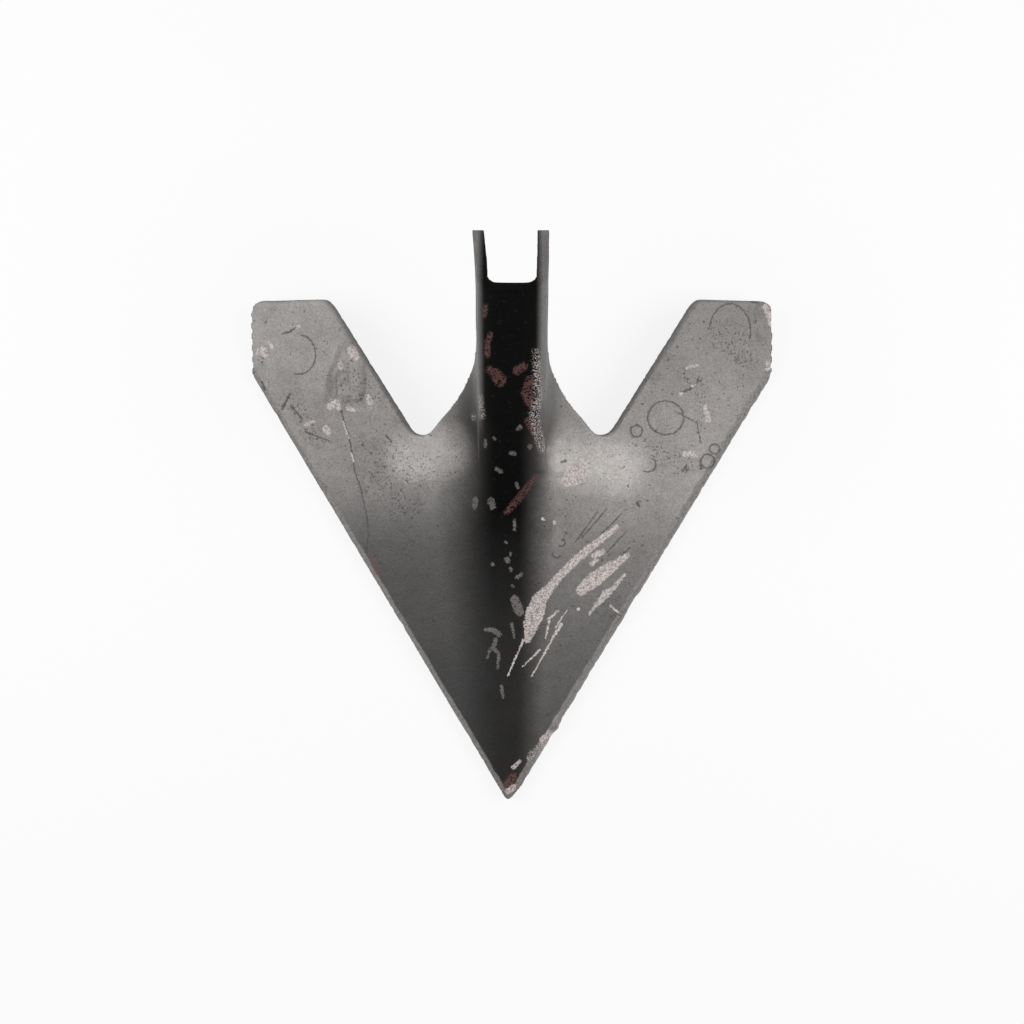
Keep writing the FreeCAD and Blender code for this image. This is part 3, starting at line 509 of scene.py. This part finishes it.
def stroke_group():
    """Plan distance from a straight stroke, less a half width that tapers along it."""
    group = bpy.data.node_groups.new("stroke", "ShaderNodeTree")
    for name, kind in (("Place", "Vector"), ("Start", "Vector"), ("Run", "Vector"), ("Inverse", "Float"),
                       ("First", "Float"), ("Last", "Float")):
        group.interface.new_socket(name, in_out="INPUT", socket_type="NodeSocket" + kind)
    group.interface.new_socket("Distance", in_out="OUTPUT", socket_type="NodeSocketFloat")
    given = group.nodes.new("NodeGroupInput").outputs

    def node(kind, operation, *values, result="Value"):
        fresh = group.nodes.new(kind)
        fresh.operation = operation
        for socket, value in zip(fresh.inputs, values):
            if isinstance(value, bpy.types.NodeSocket):
                group.links.new(value, socket)
            else:
                socket.default_value = value
        return fresh.outputs[result]

    number, vector = "ShaderNodeMath", "ShaderNodeVectorMath"
    away = node(vector, "SUBTRACT", given["Place"], given["Start"], result="Vector")
    dot = node(vector, "DOT_PRODUCT", away, given["Run"])
    along = node(number, "MULTIPLY", dot, given["Inverse"])
    along = node(number, "MINIMUM", node(number, "MAXIMUM", along, 0.0), 1.0)
    nearest = node(vector, "SCALE", given["Run"], result="Vector")
    group.links.new(along, nearest.node.inputs["Scale"])
    reach = node(vector, "DISTANCE", away, nearest)
    taper = node(number, "SUBTRACT", given["Last"], given["First"])
    width = node(number, "MULTIPLY_ADD", along, taper, given["First"])
    result = group.nodes.new("NodeGroupOutput")
    group.links.new(node(number, "SUBTRACT", reach, width), result.inputs["Distance"])
    return group


STROKE = stroke_group()


def stroke(look, place, start, end):
    node = look.add("ShaderNodeGroup", node_tree=STROKE)
    look.feed(node.inputs["Place"], place)
    run = (end[0] - start[0], end[1] - start[1], 0.0)
    node.inputs["Start"].default_value = (start[0], start[1], 0.0)
    node.inputs["Run"].default_value = run
    node.inputs["Inverse"].default_value = 1.0 / (run[0] ** 2 + run[1] ** 2)
    node.inputs["First"].default_value = start[2]
    node.inputs["Last"].default_value = end[2]
    return node.outputs["Distance"]


def trails(look, place, lines):
    """Distance outside the nearest of several trails; minus inside them."""
    nearest = None
    for spots in lines:
        for start, end in zip(spots, spots[1:]):
            distance = stroke(look, place, start, end)
            nearest = distance if nearest is None else look.sum("MINIMUM", nearest, distance)
    return nearest


def blister_lines(look, place):
    """Distance from the outlines of the blisters, left open on one side."""
    nearest = None
    for (x, y), (wide, high), (open_x, open_y) in BLISTERS:
        away = look.vector("SUBTRACT", place, (x, y, 0.0))
        round_way = look.vector("MULTIPLY", away, (1.0 / wide, 1.0 / high, 0.0))
        length = look.vector("LENGTH", round_way)
        gap = look.sum("ABSOLUTE", look.sum("SUBTRACT", length, 1.0))
        gap = look.sum("MULTIPLY", gap, 0.5 * (wide + high))
        if open_x or open_y:
            facing = look.vector("DOT_PRODUCT", round_way, (open_x, open_y, 0.0))
            gap = look.sum("ADD", gap, look.sum("MULTIPLY", look.step(facing, 0.0, 0.5), 4.0))
        nearest = gap if nearest is None else look.sum("MINIMUM", nearest, gap)
    return nearest


def edge_inside(look, edge, side):
    """Plan distance inwards from a cutting edge; side is -1 for left and +1 for right."""
    (x0, y0), (x1, y1) = edge
    length = math.hypot(x1 - x0, y1 - y0)
    inward = (-side * abs(y1 - y0) / length, abs(x1 - x0) / length, 0.0)
    start = inward[0] * x0 + inward[1] * y0
    return look.sum("SUBTRACT", look.vector("DOT_PRODUCT", look.flat, inward), start)


# Brightness of the wings' paint from the nose to the rear, as (place along the share, level): grey dust with
# a painted sheen towards the rear and painted shade towards the nose.
WING_DUST_AND_PAINTED_LIGHT_LEFT = [(-157, 0.008), (-120, 0.008), (-95, 0.011), (-60, 0.028), (-26, 0.041), (-10, 0.055),
                 (2, 0.095), (15, 0.15), (30, 0.2), (57, 0.215), (85, 0.25), (157, 0.27)]
WING_DUST_AND_PAINTED_LIGHT_RIGHT = [(-157, 0.03), (-120, 0.038), (-95, 0.06), (-60, 0.088), (-26, 0.13), (2, 0.185), (18, 0.24),
                  (43, 0.262), (70, 0.235), (98, 0.205), (115, 0.175), (157, 0.16)]

# Painted highlights where the plate turns up beside the socket: (x, y, half width).
PAINTED_HIGHLIGHT_LEFT = [[(-56.0, 41.0, 4.0), (-40.0, 42.5, 5.0)]]
PAINTED_HIGHLIGHT_RIGHT = [[(34.0, 38.0, 4.0), (60.0, 34.0, 5.0)]]


# Colours and levels are linear.
# Tones of the dark band: black paint with painted shade, from the nose to the socket.
PAINTED_SHADE_ON_NOSE, PAINTED_SHADE_ON_SOCKET = 0.013, 0.003
GLOSS_ON_NOSE, GLOSS_ON_SOCKET, GLOSS_ON_WINGS = 0.12, 0.02, 0.45
SHADE_BAND_CHANGES_FROM, SHADE_BAND_CHANGES_TO = -70.0, 10.0
# Painted shade up the flanks, deepest on the left flank away from the socket.
FLANK_SHADE_OUTSIDE, FLANK_SHADE_INSIDE = 0.02, 0.115
# PLATE_SIDE_SHADE is painted shade on the plate's steep cut sides.
UNDERSIDE, PLATE_SIDE_SHADE = 0.05, 0.045
PIT_TONE, LINE_TONE = 0.02, 0.018
GROUND_DARK, GROUND_PALE = 0.1, 0.24
TINT = (1.03, 0.97, 0.93)
RUST = (0.105, 0.055, 0.05, 1.0)
SCALE_GREY = (0.15, 0.135, 0.13, 1.0)
SPECKLE = (0.42, 0.37, 0.35, 1.0)
DULL_METAL, BRIGHT_METAL = (0.3, 0.25, 0.24, 1.0), (0.62, 0.56, 0.54, 1.0)
LEFT_GROUND, RIGHT_GROUND = (2.4, 1.2), (4.2, 3.0)


class WornPaintAndPaintedLight(Look):
    """Black paint, rubbed and rusty, on a plate that the soil has polished, with painted sheen, painted
    highlights and painted shade in its colour.
    """

    def __init__(self):
        super().__init__("worn black paint")
        self.x = self.axis(self.place, "X")
        self.y = self.axis(self.place, "Y")
        self.z = self.axis(self.place, "Z")
        self.up = self.axis(self.facing, "Z")
        self.top = self.step(self.up, 0.05, 0.2)
        # Marks are read from a jittered place, which makes their borders ragged.
        self.ragged = self.vector("ADD", self.flat, self.jitter(0.7, 2.2))
        self.grain = self.noise(0.75, detail=2.0, rough=0.6)
        self.speck = self.noise(1.3, detail=3.0, rough=0.65, shift=31.0)
        self.blotch = self.noise(7.0, detail=4.0, rough=0.6, shift=57.0)
        self.cloud = self.noise(34.0, detail=3.0, rough=0.5, shift=13.0)
        # The dark band along the ridge and the socket's crown is black paint with painted shade.
        self.black_with_painted_shade = self.painted_shade_bands()
        self.finish()

    def painted_shade_bands(self):
        """How deep the black paint with painted shade is at a spot: along the ridge, broad and soft, and on
        the crown of the socket.
        """
        taper = self.line(self.y, -158.0, 0.0, 0.5, 1.0)
        narrowed = self.sum("DIVIDE", self.x, taper)
        ridge = self.sum("MULTIPLY", self.step(narrowed, -44.0, -8.0), self.step(narrowed, 26.0, 3.0))
        crown = self.sum("MULTIPLY", self.step(self.x, -18.0, -14.0), self.step(self.x, 16.0, 12.0))
        up_the_socket = self.sum("ADD", self.y, self.sum("MULTIPLY", self.z, 0.5))
        black_with_painted_shade = self.blend_numbers(self.step(up_the_socket, 85.0, 125.0), ridge, crown)
        black_with_painted_shade = self.sum("MULTIPLY", black_with_painted_shade, self.blend_numbers(self.top, 0.6, 1.0))
        return self.sum("POWER", black_with_painted_shade, 0.6)

    def painted_highlight_zone(self, lines, reach, amount):
        """A soft zone of painted highlight round some lines."""
        zone = self.step(trails(self, self.flat, lines), reach, -2.0)
        return self.sum("MULTIPLY", zone, amount)

    def paint_tone(self):
        """Brightness of the paint: grey dust with a painted sheen towards the rear, painted shade towards the
        nose, black paint with painted shade along the ridge, painted shade up the flanks and on the plate's
        cut sides, and painted highlights at the flank feet.
        """
        # Grey dust with a painted sheen towards the rear and painted shade towards the nose.
        left = self.ramp(self.y, WING_DUST_AND_PAINTED_LIGHT_LEFT)
        right = self.ramp(self.y, WING_DUST_AND_PAINTED_LIGHT_RIGHT)
        tone = self.blend_numbers(self.step(self.x, -6.0, 6.0), left, right)
        # Painted shade up the flanks, deepest on the left flank away from the socket.
        painted_flank_shade = self.blend_numbers(self.step(self.x, -36.0, -19.0), FLANK_SHADE_OUTSIDE, FLANK_SHADE_INSIDE)
        tone = self.blend_numbers(self.step(self.z, 42.0, 62.0), tone, painted_flank_shade)
        # Black paint with painted shade along the ridge and on the socket's crown.
        black_with_painted_shade = self.line(self.y, SHADE_BAND_CHANGES_FROM, SHADE_BAND_CHANGES_TO, PAINTED_SHADE_ON_NOSE, PAINTED_SHADE_ON_SOCKET)
        tone = self.blend_numbers(self.black_with_painted_shade, tone, black_with_painted_shade)
        # Painted highlights at the feet of the flanks.
        tone = self.sum("ADD", tone, self.painted_highlight_zone(PAINTED_HIGHLIGHT_LEFT, 18.0, 0.2))
        tone = self.sum("ADD", tone, self.painted_highlight_zone(PAINTED_HIGHLIGHT_RIGHT, 18.0, 0.22))
        # Painted shade on the plate's steep cut sides.
        from_middle = self.sum("ABSOLUTE", self.x)
        side = self.sum("MULTIPLY", self.step(self.up, 0.55, 0.3), self.step(from_middle, 34.0, 42.0))
        tone = self.blend_numbers(side, tone, PLATE_SIDE_SHADE)
        return self.blend_numbers(self.top, UNDERSIDE, tone)

    def mottled(self, tone):
        patterns = ((self.cloud, 0.12), (self.blotch, 0.14), (self.speck, 0.2), (self.grain, 0.18))
        for pattern, spread in patterns:
            tone = self.sum("MULTIPLY", tone, self.line(pattern, 0.3, 0.7, 1.0 - spread, 1.0 + spread))
        return tone

    def ground_band(self, edge, side, sway, border):
        """1 on the bare strip along a cutting edge."""
        inside = edge_inside(self, edge, side)
        inside = self.sum("ADD", inside, self.line(self.blotch, 0.3, 0.7, -sway, sway))
        return self.step(inside, *border)

    def with_ground_edges(self, tone):
        left = self.ground_band(LEFT_EDGE, -1, 0.4, LEFT_GROUND)
        right = self.ground_band(RIGHT_EDGE, 1, 0.5, RIGHT_GROUND)
        ground = self.sum("MULTIPLY", self.sum("MAXIMUM", left, right), self.top)
        return self.blend_numbers(ground, tone, self.line(self.speck, 0.3, 0.7, GROUND_DARK, GROUND_PALE))

    def pits(self):
        """Small pits, close together in the pitted zones and few elsewhere."""
        zone = self.step(trails(self, self.ragged, PITTED), 4.0, -3.0)
        close = self.step(self.noise(1.6, detail=2.0, rough=0.7, shift=71.0), 0.56, 0.62)
        stray = self.step(self.noise(2.6, detail=2.0, rough=0.7, shift=91.0), 0.655, 0.69)
        pits = self.sum("MAXIMUM", self.sum("MULTIPLY", zone, close), stray)
        return self.sum("MULTIPLY", pits, self.top)

    def dark_lines(self):
        """Cracks, old scratches and the outlines of blisters."""
        hair = self.step(trails(self, self.ragged, HAIR_LINES), 0.35, -0.1)
        rings = self.step(blister_lines(self, self.ragged), 0.75, 0.25)
        return self.sum("MULTIPLY", self.sum("MAXIMUM", hair, rings), self.top)

    def marks(self, lines, border, broken_by):
        """1 on the marks along some lines, broken up by a pattern."""
        mark = self.step(trails(self, self.ragged, lines), *border)
        return self.sum("MULTIPLY", self.sum("MULTIPLY", mark, broken_by), self.top)

    def bare_metal(self):
        """Scratches down to the steel: the broad ones are speckled, the fine ones aren't."""
        broad = self.step(trails(self, self.ragged, BARE_METAL), 0.5, -0.4)
        speckle = self.blend_numbers(self.step(self.grain, 0.35, 0.56), 0.35, 1.0)
        broad = self.sum("MULTIPLY", broad, speckle)
        fine = self.step(trails(self, self.ragged, FINE_BARE), 0.3, -0.2)
        return self.sum("MULTIPLY", self.sum("MAXIMUM", broad, fine), self.top)

    def tinted(self, tone):
        colour = self.add("ShaderNodeCombineColor")
        for socket, share in zip(colour.inputs, TINT):
            self.feed(socket, self.sum("MULTIPLY", tone, share))
        return colour.outputs[0]

    def finish(self):
        """Lays every layer over the paint, and feeds the shader."""
        tone = self.with_ground_edges(self.mottled(self.paint_tone()))
        pits = self.pits()
        lines = self.dark_lines()
        tone = self.blend_numbers(self.sum("MULTIPLY", pits, 0.6), tone, PIT_TONE)
        tone = self.blend_numbers(self.sum("MULTIPLY", lines, 0.75), tone, LINE_TONE)
        colour = self.tinted(tone)
        rust = self.marks(RED_RUST, (0.9, -0.5), self.step(self.speck, 0.4, 0.52))
        colour = self.blend(rust, colour, RUST)
        scab = self.marks(SCABS, (0.5, -0.3), self.step(self.grain, 0.36, 0.5))
        colour = self.blend(scab, colour, SCALE_GREY)
        strewn = self.step(self.noise(0.9, detail=1.0, shift=17.0), 0.5, 0.58)
        speckled = self.marks(SPECKLE_BANDS, (1.6, -1.0), strewn)
        colour = self.blend(speckled, colour, SPECKLE)
        bare = self.bare_metal()
        metal = self.blend(self.step(self.speck, 0.35, 0.6), DULL_METAL, BRIGHT_METAL)
        colour = self.blend(bare, colour, metal)
        self.feed(self.shader.inputs["Base Color"], colour)

        rough = self.line(self.blotch, 0.3, 0.7, 0.4, 0.54)
        rough = self.blend_numbers(self.black_with_painted_shade, rough, 0.5)
        rough = self.blend_numbers(self.sum("MAXIMUM", rust, pits), rough, 0.75)
        rough = self.blend_numbers(bare, rough, 0.5)
        self.feed(self.shader.inputs["Roughness"], rough)
        dull = self.line(self.y, SHADE_BAND_CHANGES_FROM, SHADE_BAND_CHANGES_TO, GLOSS_ON_NOSE, GLOSS_ON_SOCKET)
        gloss = self.blend_numbers(self.black_with_painted_shade, GLOSS_ON_WINGS, dull)
        self.feed(self.shader.inputs["Specular IOR Level"], gloss)

        # Relief in millimetres.
        relief = self.sum("MULTIPLY", self.grain, 0.12)
        relief = self.sum("ADD", relief, self.sum("MULTIPLY", self.speck, 0.26))
        relief = self.sum("ADD", relief, self.sum("MULTIPLY", self.blotch, 0.35))
        bump = self.add("ShaderNodeBump")
        self.feed(bump.inputs["Height"], relief)
        bump.inputs["Distance"].default_value = MM
        bump.inputs["Strength"].default_value = 0.8
        self.feed(self.shader.inputs["Normal"], bump.outputs[0])


# ================================================================ the studio
FILL_LIGHT = 0.35
BOX_SIZE, BOX_POWER = (0.55, 0.6), 5.0
BOX_AIM = (0.0, 0.02, 0.02)
LEFT_BOX, RIGHT_BOX = (-0.66, 0.16, 0.66), (0.66, 0.1, 0.66)
FLOOR_HALF, FLOOR_GREY, FLOOR_GLOW = 4.0, (0.8, 0.8, 0.8, 1), 0.85
LENS, CAMERA_PLACE = 91.76, (0, 8.7 * MM, 1.5)


def kinds_of_ray(tree, outputs):
    """1 where any of these kinds of ray arrives."""
    rays = tree.nodes.new("ShaderNodeLightPath")
    total = rays.outputs[outputs[0]]
    for name in outputs[1:]:
        larger = tree.nodes.new("ShaderNodeMath")
        larger.operation = "MAXIMUM"
        tree.links.new(total, larger.inputs[0])
        tree.links.new(rays.outputs[name], larger.inputs[1])
        total = larger.outputs[0]
    return total


def white_world(grey):
    """White where it is seen, mirrored or looked through, and a grey light on the rest."""
    world = bpy.data.worlds.new("studio")
    world.use_nodes = True
    tree = world.node_tree
    ground = tree.nodes["Background"]
    ground.inputs["Color"].default_value = (1, 1, 1, 1)
    level = tree.nodes.new("ShaderNodeMapRange")
    level.inputs["To Min"].default_value = grey
    level.inputs["To Max"].default_value = 1.0
    seen = kinds_of_ray(tree, ["Is Camera Ray", "Is Glossy Ray", "Is Transmission Ray"])
    tree.links.new(seen, level.inputs["Value"])
    tree.links.new(level.outputs[0], ground.inputs["Strength"])
    bpy.context.scene.world = world


def soft_box(name, place, aim, size, power):
    lamp = bpy.data.lights.new(name, "AREA")
    lamp.shape = "RECTANGLE"
    lamp.size, lamp.size_y = size
    lamp.energy = power
    holder = bpy.data.objects.new(name, lamp)
    bpy.context.scene.collection.objects.link(holder)
    holder.location = place
    holder.rotation_euler = (Vector(aim) - Vector(place)).to_track_quat("-Z", "Y").to_euler()


def pale_floor(half):
    mesh = bpy.data.meshes.new("floor")
    work = bmesh.new()
    bmesh.ops.create_grid(work, x_segments=1, y_segments=1, size=half)
    bmesh.ops.translate(work, verts=work.verts, vec=(0.0, 0.0, CAD_LOW.z - 0.5 * MM))
    work.to_mesh(mesh)
    work.free()
    ground = bpy.data.objects.new("floor", mesh)
    bpy.context.scene.collection.objects.link(ground)
    look = bpy.data.materials.new("white floor")
    look.use_nodes = True
    tree = look.node_tree
    shader = tree.nodes["Principled BSDF"]
    shader.inputs["Base Color"].default_value = FLOOR_GREY
    shader.inputs["Roughness"].default_value = 1.0
    shader.inputs["Specular IOR Level"].default_value = 0.0
    glow = tree.nodes.new("ShaderNodeEmission")
    share = tree.nodes.new("ShaderNodeMath")
    share.operation = "MULTIPLY"
    share.inputs[1].default_value = FLOOR_GLOW
    tree.links.new(kinds_of_ray(tree, ["Is Camera Ray", "Is Glossy Ray"]), share.inputs[0])
    mix = tree.nodes.new("ShaderNodeMixShader")
    tree.links.new(share.outputs[0], mix.inputs["Fac"])
    tree.links.new(shader.outputs[0], mix.inputs[1])
    tree.links.new(glow.outputs[0], mix.inputs[2])
    tree.links.new(mix.outputs[0], tree.nodes["Material Output"].inputs["Surface"])
    mesh.materials.append(look)


def camera(lens, place):
    """Looks straight down on the share."""
    view = bpy.data.cameras.new("camera")
    view.lens = lens
    holder = bpy.data.objects.new("camera", view)
    bpy.context.scene.collection.objects.link(holder)
    holder.location = place
    bpy.context.scene.camera = holder


# ================================================================ the scene
bpy.context.scene.view_settings.view_transform = "Standard"

worn = copied_plate()
wear(worn)
worn.data.materials.clear()
worn.data.materials.append(WornPaintAndPaintedLight().material)
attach(worn, "root")
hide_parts("share")

white_world(FILL_LIGHT)
soft_box("left box", LEFT_BOX, BOX_AIM, BOX_SIZE, BOX_POWER)
soft_box("right box", RIGHT_BOX, BOX_AIM, BOX_SIZE, BOX_POWER)
pale_floor(FLOOR_HALF)
camera(LENS, CAMERA_PLACE)
